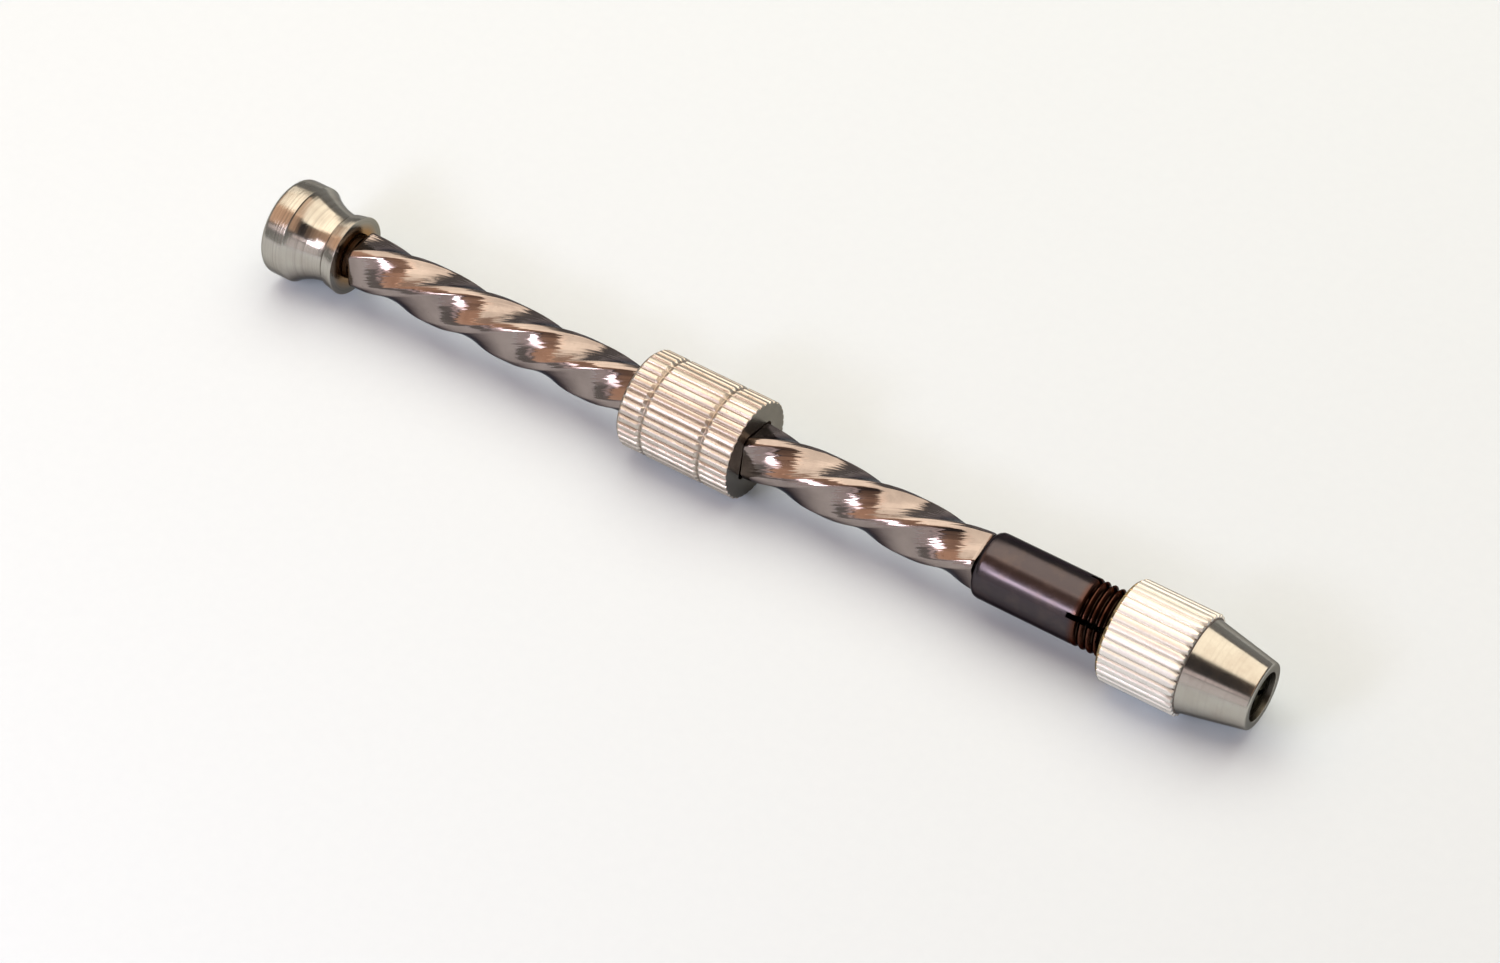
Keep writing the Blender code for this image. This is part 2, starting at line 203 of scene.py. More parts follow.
def divided(points, longest):
    """The same profile with no step longer than longest."""
    made = [points[0]]
    for (r0, x0), (r1, x1) in zip(points, points[1:]):
        count = max(1, math.ceil(math.hypot(r1 - r0, x1 - x0) / longest))
        for step in range(1, count + 1):
            share = step / count
            made.append((r0 + (r1 - r0) * share, x0 + (x1 - x0) * share))
    return made


def angles_of(count):
    return np.arange(count) * (math.tau / count)


def sweep(name, rings, count, loop=False):
    """A mesh through rings of (station, radii, turn), each with count points round the axis.

    With loop the last ring is joined to the first, and otherwise the first and last have no radius.
    """
    base = angles_of(count)
    points = np.zeros((len(rings), count, 3))
    for row, (station, radii, turn) in enumerate(rings):
        angle = base + turn
        points[row, :, 0] = station
        points[row, :, 1] = radii * np.sin(angle)
        points[row, :, 2] = AXIS_HEIGHT - radii * np.cos(angle)
    rows = len(rings) if loop else len(rings) - 1
    first = np.arange(rows)[:, None] * count + np.arange(count)[None, :]
    second = np.arange(rows)[:, None] * count + (np.arange(count)[None, :] + 1) % count
    total = len(rings) * count
    quads = np.stack([first, second, (second + count) % total, (first + count) % total], -1)
    mesh = bpy.data.meshes.new(name)
    mesh.from_pydata((points.reshape(-1, 3) * MM).tolist(), [], quads.reshape(-1, 4).tolist())
    bm = bmesh.new()
    bm.from_mesh(mesh)
    bmesh.ops.remove_doubles(bm, verts=bm.verts, dist=1e-8)
    bmesh.ops.recalc_face_normals(bm, faces=bm.faces)
    bm.to_mesh(mesh)
    bm.free()
    return link(bpy.data.objects.new(name, mesh))


def shade(obj, angle):
    """Smooth shading, with edges kept sharp where faces meet at more than angle degrees."""
    obj.data.shade_smooth()
    obj.data.set_sharp_from_angle(angle=math.radians(angle))
    return obj


def round_rings(profile):
    return [(station, radius, 0.0) for radius, station in profile]


def flute_radii(count, outer, flutes, first_flute, depth, slope):
    """How far out a knurl reaches round the axis: V-shaped flutes with eased floors and crests."""
    pitch = math.tau / flutes
    aside = (angles_of(count) - first_flute + pitch / 2) % pitch - pitch / 2
    across = slope * outer * np.abs(aside)
    below = depth + FLUTE_ROUND - np.sqrt(across**2 + FLUTE_ROUND**2)
    return outer - (below + np.sqrt(below**2 + CREST_ROUND**2)) / 2


def spiral_angle(station):
    """How far the spindle's section is turned at a station."""
    station = min(max(station, SHOULDER), TWIST_END)
    return SPIRAL_PHASE - math.tau * (station - SHOULDER) / LEAD


def square_radii(angle, flats, corner, ease):
    """A square with rounded-off corners, as radii at angles from the middle of a flat."""
    aside = (angle + math.pi / 4) % (math.pi / 2) - math.pi / 4
    flat = flats / 2 / np.cos(aside)
    return (flat + corner - np.sqrt((flat - corner) ** 2 + ease**2)) / 2


def make_knob():
    """Palm knob: closed rim, concave neck and flared collar, with the stepped hole of its pivot."""
    neck_front = MOUTH - COLLAR_WIDTH - NECK_STEP
    rim_front = PALM + RIM_WIDTH
    length = neck_front - rim_front
    rise = RIM_RADIUS - RIM_EDGE - NECK_RADIUS
    cove = (length**2 + rise**2) / (2 * rise)
    profile = [
        (0, MOUTH - PIVOT_HOLE_DEPTH),
        (PIVOT_HOLE_RADIUS, MOUTH - PIVOT_HOLE_DEPTH),
        (PIVOT_HOLE_RADIUS, MOUTH - BUSH_HOLE_DEPTH),
        (BUSH_HOLE_RADIUS, MOUTH - BUSH_HOLE_DEPTH),
        (BUSH_HOLE_RADIUS, MOUTH, 0.04),
        (COLLAR_RADIUS, MOUTH, 0.05),
        (COLLAR_BACK_RADIUS, MOUTH - COLLAR_WIDTH, 0.03),
        (NECK_RADIUS, neck_front, 0.02),
    ]
    for step in range(1, COVE_STEPS):
        back = length * step / COVE_STEPS
        profile.append((NECK_RADIUS + cove - math.sqrt(cove**2 - back**2), neck_front - back))
    profile += [
        (RIM_RADIUS - RIM_EDGE, rim_front, 0.03),
        (RIM_RADIUS, rim_front - RIM_EDGE, 0.05),
        (RIM_RADIUS, PALM, PALM_ROUND),
        (0, PALM),
    ]
    return shade(sweep("palm_knob_turned", round_rings(fillet(profile)), 192), 30)


def make_spindle():
    """Twisted square bar between its rear journal, with a hole for the pivot's screw, and its spigot."""
    count, steps = 160, 380
    section = square_radii(angles_of(count), FLATS, CORNER_RADIUS, CORNER_EASE)
    rings = [
        (JOURNAL_END + SCREW_HOLE_DEPTH, 0.0),
        (JOURNAL_END + SCREW_HOLE_DEPTH, SCREW_HOLE_RADIUS),
        (JOURNAL_END, SCREW_HOLE_RADIUS),
        (JOURNAL_END, JOURNAL_RADIUS - TURNED_EDGE),
        (JOURNAL_END + TURNED_EDGE, JOURNAL_RADIUS),
        (SHOULDER, JOURNAL_RADIUS),
        (SHOULDER, section * END_SHARE),
    ]
    length = TWIST_END - SHOULDER - 2 * END_EASE
    rings += [(SHOULDER + END_EASE + length * step / steps, section) for step in range(steps + 1)]
    rings += [
        (TWIST_END, section * END_SHARE),
        (TWIST_END, SPIGOT_RADIUS),
        (SPIGOT_END - TURNED_EDGE, SPIGOT_RADIUS),
        (SPIGOT_END, SPIGOT_RADIUS - TURNED_EDGE),
        (SPIGOT_END, 0.0),
    ]
    turned = [(station, radii, spiral_angle(station)) for station, radii in rings]
    return shade(sweep("spiral_spindle", turned, count), 40)


def make_slider():
    """Knurled sleeve with two V-grooves, a seat for its rear plate and a twisted square hole in front."""
    count, hole_steps = SLIDER_FLUTES * 14, 12
    outer = SLIDER_RADIUS
    flutes = flute_radii(
        count, outer, SLIDER_FLUTES, SLIDER_FLUTE_ANGLE, SLIDER_FLUTE_DEPTH, SLIDER_FLUTE_SLOPE
    )
    profile = [
        (3.6, SLIDER_FRONT),
        (outer - SLIDER_FRONT_CHAMFER, SLIDER_FRONT, 0.02),
        (outer, SLIDER_FRONT - SLIDER_FRONT_CHAMFER, 0.02),
    ]
    for groove in GROOVES:
        profile += [
            (outer, groove + GROOVE_HALF_WIDTH, 0.08),
            (outer - GROOVE_DEPTH, groove, 0.15),
            (outer, groove - GROOVE_HALF_WIDTH, 0.08),
        ]
    profile += [
        (outer, SLIDER_BACK + SLIDER_BACK_CHAMFER, 0.1),
        (outer - SLIDER_BACK_CHAMFER, SLIDER_BACK, 0.05),
        (PLATE_SEAT_RADIUS, SLIDER_BACK),
    ]
    rings = []
    for radius, station in divided(fillet(profile, 3), 0.5):
        rings.append((station, np.minimum(radius, flutes), 0.0))
    rings += round_rings(
        [
            (PLATE_SEAT_RADIUS, SLIDER_BACK + PLATE_SEAT_DEPTH),
            (SLIDER_BORE_RADIUS, SLIDER_BACK + PLATE_SEAT_DEPTH),
            (SLIDER_BORE_RADIUS, SLIDER_FRONT - FRONT_WALL),
        ]
    )
    for step in range(hole_steps + 1):
        station = SLIDER_FRONT - FRONT_WALL * (1 - step / hole_steps)
        from_flat = angles_of(count) - spiral_angle(station)
        hole = square_radii(from_flat, FLATS + 2 * DRIVE_GAP, CORNER_RADIUS + CORNER_GAP, 0.03)
        rings.append((station, hole, 0.0))
    return shade(sweep("knurled_slider", rings, count, loop=True), 50)


def thread_rings(start, end, count):
    """Rings of a right-hand V thread whose crests are flush with the stem, cut gradually at its start."""
    crest, flank, steps_per_turn = 0.12, 0.76, 14
    rings = []
    steps = math.ceil((end - start) / THREAD_PITCH * steps_per_turn)
    for step in range(steps + 1):
        station = start + (end - start) * step / steps
        turn = (station - start) / THREAD_PITCH - angles_of(count) / math.tau
        aside = np.abs(turn % 1 - 0.5) * 2
        cut = np.clip((aside - crest) / flank, 0, 1)
        lead_in = min(1, (station - start) / (THREAD_LEAD_IN * THREAD_PITCH))
        rings.append((station, STEM_RADIUS - THREAD_DEPTH * lead_in * cut, 0.0))
    return rings


def cut_slit(obj, angle):
    """Cuts a slit lengthwise through the axis, from the jaws' front to the end of the slits."""
    length = JAW_FRONT + 1 - SLIT_BACK
    bm = bmesh.new()
    bmesh.ops.create_cube(bm, size=1)
    bmesh.ops.scale(bm, vec=Vector((length, SLIT_WIDTH, 2 * STEM_RADIUS + 1)) * MM, verts=bm.verts)
    mesh = bpy.data.meshes.new("slit")
    bm.to_mesh(mesh)
    bm.free()
    slit = link(bpy.data.objects.new("slit", mesh))
    slit.location = Vector((SLIT_BACK + length / 2, 0, AXIS_HEIGHT)) * MM
    slit.rotation_euler = (angle, 0, 0)
    cut = obj.modifiers.new("slit", "BOOLEAN")
    cut.operation = "DIFFERENCE"
    cut.object = slit
    bpy.context.view_layer.update()
    done = bpy.data.meshes.new_from_object(obj.evaluated_get(bpy.context.evaluated_depsgraph_get()))
    obj.modifiers.clear()
    obj.data = done
    bpy.data.objects.remove(slit)


def clean_cut(obj):
    """Welds the slivers that a cut leaves, and splits its faces into well-shaped triangles."""
    bm = bmesh.new()
    bm.from_mesh(obj.data)
    bmesh.ops.remove_doubles(bm, verts=bm.verts, dist=CUT_WELD * MM)
    bmesh.ops.triangulate(bm, faces=bm.faces, quad_method="BEAUTY", ngon_method="BEAUTY")
    bm.to_mesh(obj.data)
    bm.free()


def make_stem():
    """Collet stem: hollow at the back for the spindle, threaded, and slit crosswise into four jaws."""
    count = 120
    front = fillet(
        [
            (0, SLIT_BACK),
            (RELIEF_RADIUS, SLIT_BACK),
            (RELIEF_RADIUS, JAW_FRONT - BIT_BORE_LENGTH),
            (BIT_BORE_RADIUS, JAW_FRONT - BIT_BORE_LENGTH),
            (BIT_BORE_RADIUS, JAW_FRONT - TURNED_EDGE),
            (BIT_BORE_RADIUS + TURNED_EDGE, JAW_FRONT),
            (JAW_FRONT_RADIUS, JAW_FRONT, 0.18),
            (JAW_BACK_RADIUS, JAW_BACK),
        ]
    )
    back = fillet(
        [
            (STEM_RADIUS, THREAD_START - 0.05),
            (STEM_RADIUS, STEM_BACK, STEM_ROUND),
            (SPIGOT_RADIUS + SEAT_GAP, STEM_BACK, 0.1),
            (SPIGOT_RADIUS + SEAT_GAP, SPIGOT_END + SEAT_GAP),
            (0, SPIGOT_END + SEAT_GAP),
        ]
    )
    thread = thread_rings(THREAD_START, JAW_BACK - 0.05, count)
    rings = round_rings(front) + thread[::-1] + round_rings(divided(back, 2.0))
    obj = sweep("slit_collet_stem", rings, count)
    cut_slit(obj, SLIT_ANGLE)
    cut_slit(obj, SLIT_ANGLE + math.pi / 2)
    clean_cut(obj)
    return shade(obj, 40)


def make_nut():
    """Chuck nut: knurled barrel, whose flutes deepen towards the tapered nose, and the jaws' taper inside."""
    count = NUT_FLUTES * 16
    outer = NUT_RADIUS
    face = (KNURL_FACE_RADIUS, KNURL_END + 0.03)
    cone = fillet(
        [
            (NOSE_HOLE_RADIUS, NOSE - COUNTERBORE_DEPTH),
            (COUNTERBORE_RADIUS - 0.06, NOSE - COUNTERBORE_DEPTH),
            (COUNTERBORE_RADIUS, NOSE, 0.06),
            (NOSE_RADIUS, NOSE, NOSE_ROUND),
            (CONE_BACK_RADIUS, KNURL_END + 0.08, 0.04),
            face,
        ]
    )
    knurl = fillet(
        [
            face,
            (outer, KNURL_END - 0.05, 0.12),
            (outer, KNURL_END - 0.35),
            (outer, KNURL_END - 0.45),
            (outer, KNURL_END - NUT_FLUTE_END_LENGTH),
            (outer, NUT_BACK + NUT_BACK_CHAMFER, 0.1),
            (outer - NUT_BACK_CHAMFER, NUT_BACK, 0.05),
            (4.3, NUT_BACK),
        ]
    )
    rings = round_rings(cone[:-1])
    for radius, station in divided(knurl, 0.3):
        opened = max(0.0, 1 - (KNURL_END - station) / NUT_FLUTE_END_LENGTH)
        depth = NUT_FLUTE_DEPTH + (NUT_FLUTE_END_DEPTH - NUT_FLUTE_DEPTH) * opened
        flutes = flute_radii(count, outer, NUT_FLUTES, NUT_FLUTE_ANGLE, depth, NUT_FLUTE_SLOPE)
        rings.append((station, np.minimum(radius, flutes), 0.0))
    rings += round_rings(
        [
            (NUT_BORE_MOUTH, NUT_BACK),
            (NUT_BORE_RADIUS, NUT_BACK + NUT_BORE_MOUTH - NUT_BORE_RADIUS),
            (NUT_BORE_RADIUS, JAW_BACK + SEAT_GAP),
            (JAW_BACK_RADIUS + SEAT_GAP, JAW_BACK + SEAT_GAP),
            (JAW_FRONT_RADIUS + SEAT_GAP, JAW_FRONT),
        ]
    )
    return shade(sweep("knurled_chuck_nut", rings, count, loop=True), 40)


class Nodes:
    """Short hand for a material's nodes."""

    def __init__(self, name):
        self.material = bpy.data.materials.new(name)
        self.material.use_nodes = True
        self.tree = self.material.node_tree
        self.shader = self.tree.nodes["Principled BSDF"]

    def add(self, kind, inputs=(), **settings):
        node = self.tree.nodes.new(kind)
        for key, value in settings.items():
            setattr(node, key, value)
        for key, value in dict(inputs).items():
            self.put(node.inputs[key], value)
        return node

    def put(self, socket, value):
        if isinstance(value, bpy.types.NodeSocket):
            self.tree.links.new(value, socket)
        else:
            socket.default_value = value

    def math(self, operation, first, second=0.0):
        return self.add("ShaderNodeMath", {0: first, 1: second}, operation=operation).outputs[0]

    def noise(self, scale, detail=3.0, vector=None, line=None, rough=0.5):
        """Noise over a vector, or along a line."""
        inputs = {"Scale": scale, "Detail": detail, "Roughness": rough}
        if line is not None:
            node = self.add("ShaderNodeTexNoise", {"W": line, **inputs}, noise_dimensions="1D")
        else:
            node = self.add("ShaderNodeTexNoise", {"Vector": vector, **inputs})
        return node.outputs["Fac"]

    def span(self, value, low, high, to_low, to_high):
        node = self.add(
            "ShaderNodeMapRange",
            {"Value": value, "From Min": low, "From Max": high, "To Min": to_low, "To Max": to_high},
        )
        return node.outputs["Result"]

    def blend(self, factor, first, second):
        node = self.add("ShaderNodeMix", data_type="RGBA")
        self.put(node.inputs["Factor"], factor)
        self.put(node.inputs[6], first)
        self.put(node.inputs[7], second)
        return node.outputs[2]

    def within(self, value, low, high, ease):
        """1 for a length between low and high, in millimetres, easing to 0 on either side."""
        rise = self.span(value, (low - ease) * MM, low * MM, 0, 1)
        fall = self.span(value, high * MM, (high + ease) * MM, 1, 0)
        return self.math("MULTIPLY", rise, fall)

    def bump(self, height, distance, normal=None):
        inputs = {"Height": height, "Distance": distance, "Strength": 1.0}
        if normal is not None:
            inputs["Normal"] = normal
        return self.add("ShaderNodeBump", inputs).outputs["Normal"]

    def axis_places(self):
        """The point itself, its station along the axis, its distance from it and its angle round it."""
        point = self.add("ShaderNodeTexCoord").outputs["Object"]
        parts = self.add("ShaderNodeSeparateXYZ", {0: point})
        height = self.math("SUBTRACT", parts.outputs["Z"], AXIS_HEIGHT * MM)
        flat = self.add("ShaderNodeCombineXYZ", {"Y": parts.outputs["Y"], "Z": height}).outputs[0]
        radius = self.add("ShaderNodeVectorMath", {0: flat}, operation="LENGTH").outputs["Value"]
        angle = self.math("ARCTAN2", height, parts.outputs["Y"])
        return point, parts.outputs["X"], radius, angle

    def metal(self, tint, rough, normal, edge_tint):
        """Joins up the shader of a bare metal."""
        self.put(self.shader.inputs["Base Color"], tint)
        self.put(self.shader.inputs["Roughness"], rough)
        self.put(self.shader.inputs["Normal"], normal)
        self.shader.inputs["Metallic"].default_value = 1
        self.shader.inputs["Specular Tint"].default_value = edge_tint
        return self.material


# Where a plate's colour differs, by stains or by painted shade and reflection, between two stations and two
# radii, with borders that fade over ease
Zone = namedtuple("Zone", "stations radii ease share colour rough")

# Edge tints darken each metal's reflection towards its outline: painted shade standing in for the floor's
# shadow under the tool
EDGE_TINT = (0.35, 0.35, 0.35, 1)
SPINDLE_EDGE_TINT = (0.2, 0.22, 0.25, 1)
ETCHED = (0.152, 0.125, 0.103, 1)
PIT = (0.13, 0.092, 0.065, 1)
SPINDLE_PIT = (0.087, 0.054, 0.043, 1)
BLACK = (0.062, 0.053, 0.059, 1)
BLACK_WORN = (0.13, 0.098, 0.087, 1)
BROWNED = (0.082, 0.032, 0.02, 1)
# Painted shade for the stem's thread roots, slits and bores
CREVICE_SHADE = (0.013, 0.009, 0.007, 1)
JAW_FACE = (0.109, 0.103, 0.076, 1)


def turned_metal(name, colour, worn, rough, lines=1.4e-6, zones=(), etched=0.0, grain=0.0, pitted=0.72):
    """Plated metal with fine turning lines round the axis and faint smears.

    lines and grain are the heights of the turning lines and of a fine pressed grain, etched is how much
    the lines darken the plate, and pitted the level of the noise above which it has dark pits.
    """
    n = Nodes(name)
    point, station, radius, _ = n.axis_places()
    line = n.math("ADD", station, radius)
    turning = n.noise(5200, 4.0, line=line, rough=0.7)
    waves = n.noise(900, 2.0, line=line)
    smear = n.noise(420, 4.0, vector=point, rough=0.6)
    specks = n.noise(5200, 2.0, vector=point)
    tint = n.blend(n.span(smear, 0.35, 0.7, 0, 1), (*colour, 1), (*worn, 1))
    matt = n.span(smear, 0.3, 0.75, *rough)
    for zone in zones:
        along = n.within(station, *zone.stations, zone.ease)
        out = n.within(radius, *zone.radii, zone.ease)
        share = n.span(smear, 0.3, 0.6, zone.share * 0.8, zone.share)
        mask = n.math("MULTIPLY", n.math("MULTIPLY", along, out), share)
        tint = n.blend(mask, tint, (*zone.colour, 1))
        matt = n.math("ADD", matt, n.math("MULTIPLY", mask, n.math("SUBTRACT", zone.rough, matt)))
    tint = n.blend(n.span(turning, 0.45, 0.75, 0, etched), tint, ETCHED)
    tint = n.blend(n.span(specks, pitted, pitted + 0.08, 0, 0.5), tint, PIT)
    normal = n.bump(turning, lines, n.bump(waves, lines * 2))
    if grain:
        normal = n.bump(n.noise(7000, 2.0, vector=point), grain, normal)
    return n.metal(tint, matt, normal, EDGE_TINT)


def twisted_metal(name, colour, worn, rough):
    """Drawn bar: fine streaks that follow its twist, with small dark pits."""
    n = Nodes(name)
    point, station, _, angle = n.axis_places()
    wound = n.math("ADD", angle, n.math("MULTIPLY", station, math.tau / (LEAD * MM)))
    streak_at = n.add(
        "ShaderNodeCombineXYZ",
        {"X": n.math("SINE", wound), "Y": n.math("COSINE", wound), "Z": n.math("MULTIPLY", station, 12.0)},
    )
    streaks = n.noise(8.0, 2.0, vector=streak_at.outputs[0], rough=0.4)
    smear = n.noise(300, 4.0, vector=point, rough=0.6)
    specks = n.noise(3600, 2.0, vector=point)
    tint = n.blend(n.span(smear, 0.35, 0.7, 0, 1), (*colour, 1), (*worn, 1))
    tint = n.blend(n.span(specks, 0.72, 0.79, 0, 0.6), tint, SPINDLE_PIT)
    return n.metal(tint, n.span(streaks, 0.3, 0.7, *rough), n.bump(streaks, 4.0e-5), SPINDLE_EDGE_TINT)


def black_metal(name, rough):
    """Black-oxidised steel, satin, browned along its thread, with painted shade inside the thread and the
    slits.
    """
    n = Nodes(name)
    point, station, radius, _ = n.axis_places()
    smear = n.noise(500, 5.0, vector=point, rough=0.65)
    turning = n.noise(5000, 3.0, line=station, rough=0.7)
    tint = n.blend(n.span(smear, 0.5, 0.85, 0, 0.5), BLACK, BLACK_WORN)
    browned = n.span(station, (THREAD_START - 0.4) * MM, (THREAD_START + 0.3) * MM, 0, 0.9)
    tint = n.blend(browned, tint, BROWNED)
    # Painted shade in the thread's roots and inside the slits and bores, darker further in
    shade_inside = n.span(radius, (STEM_RADIUS - THREAD_DEPTH) * MM, (STEM_RADIUS - 0.04) * MM, 0.92, 0)
    shade_inside = n.math("MULTIPLY", shade_inside, n.math("GREATER_THAN", station, (SLIT_BACK - 0.1) * MM))
    tint = n.blend(shade_inside, tint, CREVICE_SHADE)
    jaw_face = n.span(station, (JAW_FRONT - 0.2) * MM, (JAW_FRONT - 0.1) * MM, 0, 1)
    tint = n.blend(jaw_face, tint, JAW_FACE)
    return n.metal(tint, n.span(smear, 0.3, 0.75, *rough), n.bump(turning, 1.0e-6), EDGE_TINT)


NICKEL = (0.457, 0.44, 0.402)
NICKEL_WORN = (0.408, 0.38, 0.342)
KNURL = (0.603, 0.562, 0.516)
KNURL_WORN = (0.522, 0.473, 0.424)

COLLAR_BACK = MOUTH - COLLAR_WIDTH
KNOB_ZONES = [
    # Painted shade in the corner behind the collar, painted shade on the duller face of the collar, and a
    # painted reflection of the brownish spindle round its hole
    # Painted shade in the corner behind the collar
    Zone((COLLAR_BACK - 0.28, COLLAR_BACK - 0.03), (3.5, 3.8), 0.06, 0.85, (0.109, 0.092, 0.076), 0.3),
    # Painted shade on the collar's face
    Zone((MOUTH - 0.01, MOUTH + 0.1), (0, 4.02), 0.02, 0.6, (0.239, 0.223, 0.179), 0.2),
    # Painted reflection of the brownish spindle round the hole
    Zone((MOUTH - 0.1, MOUTH + 0.1), (0, 2.7), 0.9, 0.8, (0.435, 0.234, 0.087), 0.22),
]
SLIDER_ZONES = [
    # Grime in the flutes, painted shade on the duller front face, and grime in the V-grooves
    Zone((SLIDER_BACK + 0.02, SLIDER_FRONT - 0.02), (0, 4.76), 0.1, 0.45, (0.38, 0.293, 0.228), 0.4),
    # Painted shade on the front face
    Zone((SLIDER_FRONT - 0.01, SLIDER_FRONT + 0.1), (0, 4.9), 0.03, 0.75, (0.217, 0.212, 0.19), 0.2),
    *[Zone((g - 0.1, g + 0.1), (4.4, 4.8), 0.08, 0.4, (0.217, 0.152, 0.109), 0.4) for g in GROOVES],
]
NUT_ZONES = [
    # The bright, matt knurl, partly painted light, painted shade in the ends of its flutes, the yellowed rear
    # edge and painted shade in the nose hole
    # The knurl's lighter colour is partly a matt plating and partly painted light
    Zone((NUT_BACK + 0.35, KNURL_END + 0.1), (4.64, 6), 0.04, 1.0, (0.826, 0.81, 0.777), 0.5),
    # Painted shade in the ends of the flutes
    Zone((KNURL_END - 0.3, KNURL_END + 0.1), (4.5, 4.73), 0.03, 0.85, (0.13, 0.098, 0.087), 0.4),
    Zone((NUT_BACK - 0.1, NUT_BACK + 0.3), (4.4, 6), 0.05, 0.8, (0.543, 0.391, 0.174), 0.3),
    # Painted shade in the nose hole
    Zone((NOSE - 0.7, NOSE - 0.06), (0, 2.5), 0.05, 0.95, (0.054, 0.051, 0.039), 0.4),
]

knob_metal = turned_metal("knob_plate", NICKEL, NICKEL_WORN, (0.13, 0.22), 1.1e-5, KNOB_ZONES, etched=0.35)
slider_metal = turned_metal(
    "slider_plate", KNURL, KNURL_WORN, (0.29, 0.41), zones=SLIDER_ZONES, grain=1.3e-5, pitted=0.61
)
nut_metal = turned_metal("nut_plate", NICKEL, NICKEL_WORN, (0.13, 0.22), 4e-6, NUT_ZONES, etched=0.08)
inner_metal = turned_metal("inner_steel", (0.435, 0.435, 0.446), (0.359, 0.348, 0.337), (0.25, 0.4))
# The thrust washer's near-black colour is partly painted shade for the gap between the collar and the
# spindle's shoulder
washer_metal = turned_metal("washer_steel", (0.076, 0.049, 0.033), (0.049, 0.033, 0.022), (0.25, 0.4))
bush_metal = turned_metal("bush_bronze", (0.543, 0.37, 0.185), (0.435, 0.283, 0.13), (0.28, 0.42))
spindle_metal = twisted_metal("spindle_steel", (0.313, 0.264, 0.247), (0.236, 0.196, 0.185), (0.1, 0.17))
stem_metal = black_metal("stem_black", (0.195, 0.28))


def paint(mesh, material):
    mesh.materials.clear()
    mesh.materials.append(material)


def dress(obj, material, body, node):
    """Puts a piece on its body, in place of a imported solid."""
    paint(obj.data, material)
    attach(obj, body)
    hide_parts(node)


dress(make_knob(), knob_metal, "palm_knob", "knob")
dress(make_spindle(), spindle_metal, "spindle_assembly", "spindle")
dress(make_slider(), slider_metal, "slider", "slider_sleeve")
dress(make_stem(), stem_metal, "spindle_assembly", "collet_stem")
dress(make_nut(), nut_metal, "chuck_nut", "chuck_nut")

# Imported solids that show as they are
carried = {
    "pivot_bush": bush_metal,
    "thrust_washer": washer_metal,
    "retaining_washer": inner_metal,
    "pivot_screw": inner_metal,
    "rear_drive_plate": slider_metal,
}
for node, material in carried.items():
    paint(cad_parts[node].data, material)


def make_floor():
    bm = bmesh.new()
    bmesh.ops.create_grid(bm, x_segments=1, y_segments=1, size=4)
    mesh = bpy.data.meshes.new("studio_floor")
    bm.to_mesh(mesh)
    bm.free()
    n = Nodes("floor_paper")
    grain = n.noise(900, 3.0, vector=n.add("ShaderNodeTexCoord").outputs["Object"])
    n.put(n.shader.inputs["Base Color"], n.blend(grain, (0.717, 0.837, 0.967, 1), (0.739, 0.859, 0.985, 1)))
    n.shader.inputs["Roughness"].default_value = 0.9
    n.shader.inputs["Specular IOR Level"].default_value = 0.1
    paint(mesh, n.material)
    link(bpy.data.objects.new("studio_floor", mesh))


def make_world():
    """A dim room, paler towards the horizon."""
    world = bpy.data.worlds.new("studio")
    world.use_nodes = True
    tree = world.node_tree
    way = tree.nodes.new("ShaderNodeTexCoord")
    parts = tree.nodes.new("ShaderNodeSeparateXYZ")
    ramp = tree.nodes.new("ShaderNodeValToRGB")
    tree.links.new(way.outputs["Generated"], parts.inputs[0])
    tree.links.new(parts.outputs["Z"], ramp.inputs[0])
    tree.links.new(ramp.outputs[0], tree.nodes["Background"].inputs["Color"])
    horizon, ceiling = ramp.color_ramp.elements
    horizon.position = 0.0
    horizon.color = (0.396, 0.396, 0.377, 1)
    ceiling.position = 0.6
    ceiling.color = (0.041, 0.039, 0.039, 1)
    ramp.color_ramp.elements.new(0.33).color = (0.304, 0.294, 0.285, 1)
    bpy.context.scene.world = world


def softbox(name, place, target, size, radiance, colour, roll=0.0):
    """A flat lamp facing target, turned by roll about its own axis, whose face has the given brightness."""
    lamp = bpy.data.lights.new(name, "AREA")
    lamp.shape = "RECTANGLE"
    lamp.size, lamp.size_y = size
    lamp.energy = radiance * math.pi * size[0] * size[1]
    lamp.color = colour
    obj = link(bpy.data.objects.new(name, lamp))
    obj.location = place
    facing = (Vector(target) - Vector(place)).to_track_quat("-Z", "Y")
    obj.rotation_euler = (facing @ Quaternion((0, 0, 1), roll)).to_euler()


WINDOW = (1.0, 0.885, 0.715)
WARM = (1.0, 0.61, 0.4)
PEACH = (1.0, 0.7, 0.5)
LILAC = (0.97, 0.9, 1.0)
ROSE = (1.0, 0.82, 0.82)
PALE_ROSE = (1.0, 0.86, 0.87)

# Panes of the window overhead, from the knob's side to the chuck's: start, end, front, back, radiance, colour
WINDOW_HEIGHT = 0.6
WINDOW_PANES = [
    (-1.2, -0.55, -0.1, 0.45, 0.92, PEACH),
    (-0.95, -0.64, 0.45, 0.95, 2.3, WINDOW),
    (-0.55, -0.34, -0.05, 0.58, 2.3, WINDOW),
    (-0.55, -0.34, 0.58, 1.0, 0.736, WINDOW),
    (-0.34, -0.14, -0.12, 0.9, 2.852, WINDOW),
    (-0.14, 0.26, -0.18, 0.95, 2.208, WINDOW),
    (0.26, 0.55, -0.1, 0.6, 1.15, PEACH),
]
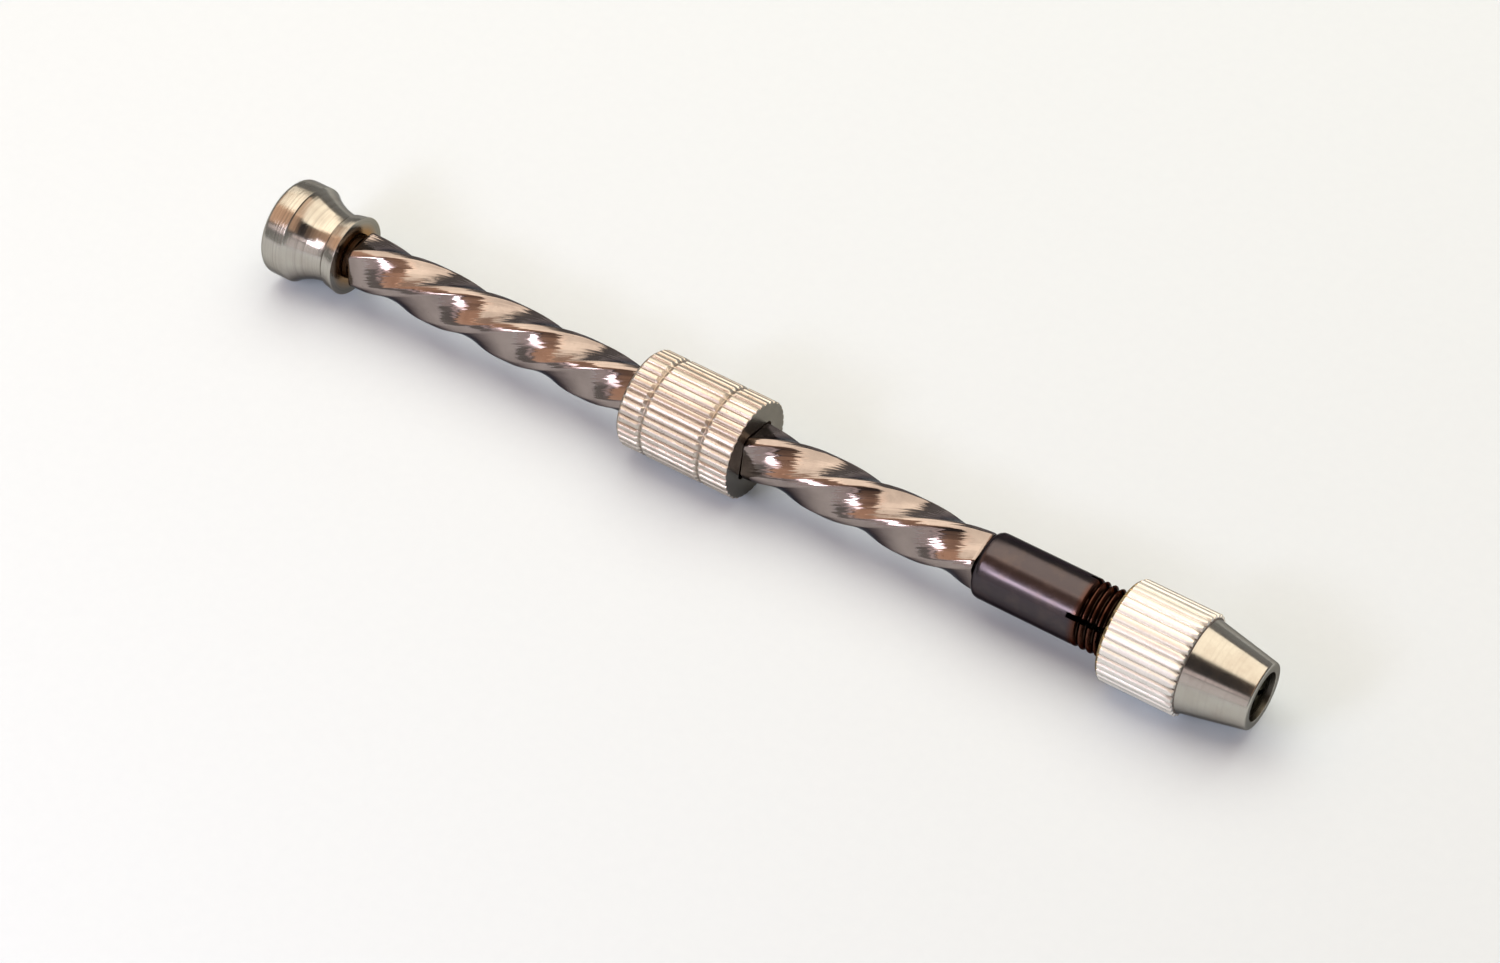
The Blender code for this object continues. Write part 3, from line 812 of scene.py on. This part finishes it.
# Warm panels above the front, from the knob's side to the chuck's: start, end, radiance
WARM_PLACE = (-0.24, 0.456)
WARM_WIDTH = 0.43
WARM_PANELS = [
    (-1.0, -0.3, 1.058),
    (-0.3, -0.19, 0.644),
    (-0.19, -0.155, 0.414),
    (-0.155, -0.06, 0.69),
    (-0.06, 0.05, 0.294),
    (0.27, 0.47, 0.782),
]
# Small lamps in front: name, place, target, size, radiance, colour, roll
FRONT_LAMPS = [
    ("front_lamp", (-0.125, -0.262, 0.198), (-0.03, 0, 0.005), (0.13, 0.065), 5.98, LILAC, math.radians(-50)),
    ("low_lamp", (-0.072, -0.282, 0.167), (-0.02, 0, 0.005), (0.055, 0.052), 14.72, LILAC, 0.0),
    ("front_strip", (-0.1, -0.28, 0.165), (-0.1, 0, 0.005), (0.5, 0.05), 0.92, ROSE, 0.0),
    ("low_strip", (0.05, -0.62, 0.127), (0.05, 0, 0.005), (0.68, 0.26), 0.552, PALE_ROSE, 0.0),
]


def make_lamps():
    for index, (start, end, front, back, radiance, colour) in enumerate(WINDOW_PANES):
        place = ((start + end) / 2, (front + back) / 2, WINDOW_HEIGHT)
        below = (*place[:2], 0)
        softbox(f"window_{index}", place, below, (end - start, back - front), radiance, colour)
    for index, (start, end, radiance) in enumerate(WARM_PANELS):
        middle = (start + end) / 2
        size = (end - start, WARM_WIDTH)
        softbox(f"warm_{index}", (middle, *WARM_PLACE), (middle, 0, 0), size, radiance, WARM)
    for lamp in FRONT_LAMPS:
        softbox(*lamp)


# The photograph's view: its width and focal length in pixels, and where the camera stands and looks
PHOTO_WIDTH = 1500
PHOTO_FOCAL = 3938
CAMERA_PLACE = (0.139524, -0.209578, 0.274114)
CAMERA_AIM = (-0.375096, 0.563553, -0.736010)


def make_camera():
    data = bpy.data.cameras.new("camera")
    data.sensor_width = 36
    data.lens = data.sensor_width * PHOTO_FOCAL / PHOTO_WIDTH
    data.clip_start = 0.01
    data.clip_end = 20
    camera = link(bpy.data.objects.new("camera", data))
    camera.location = CAMERA_PLACE
    camera.rotation_euler = Vector(CAMERA_AIM).to_track_quat("-Z", "Y").to_euler()
    bpy.context.scene.camera = camera


make_floor()
make_world()
make_lamps()
make_camera()
bpy.context.scene.view_settings.view_transform = "Standard"
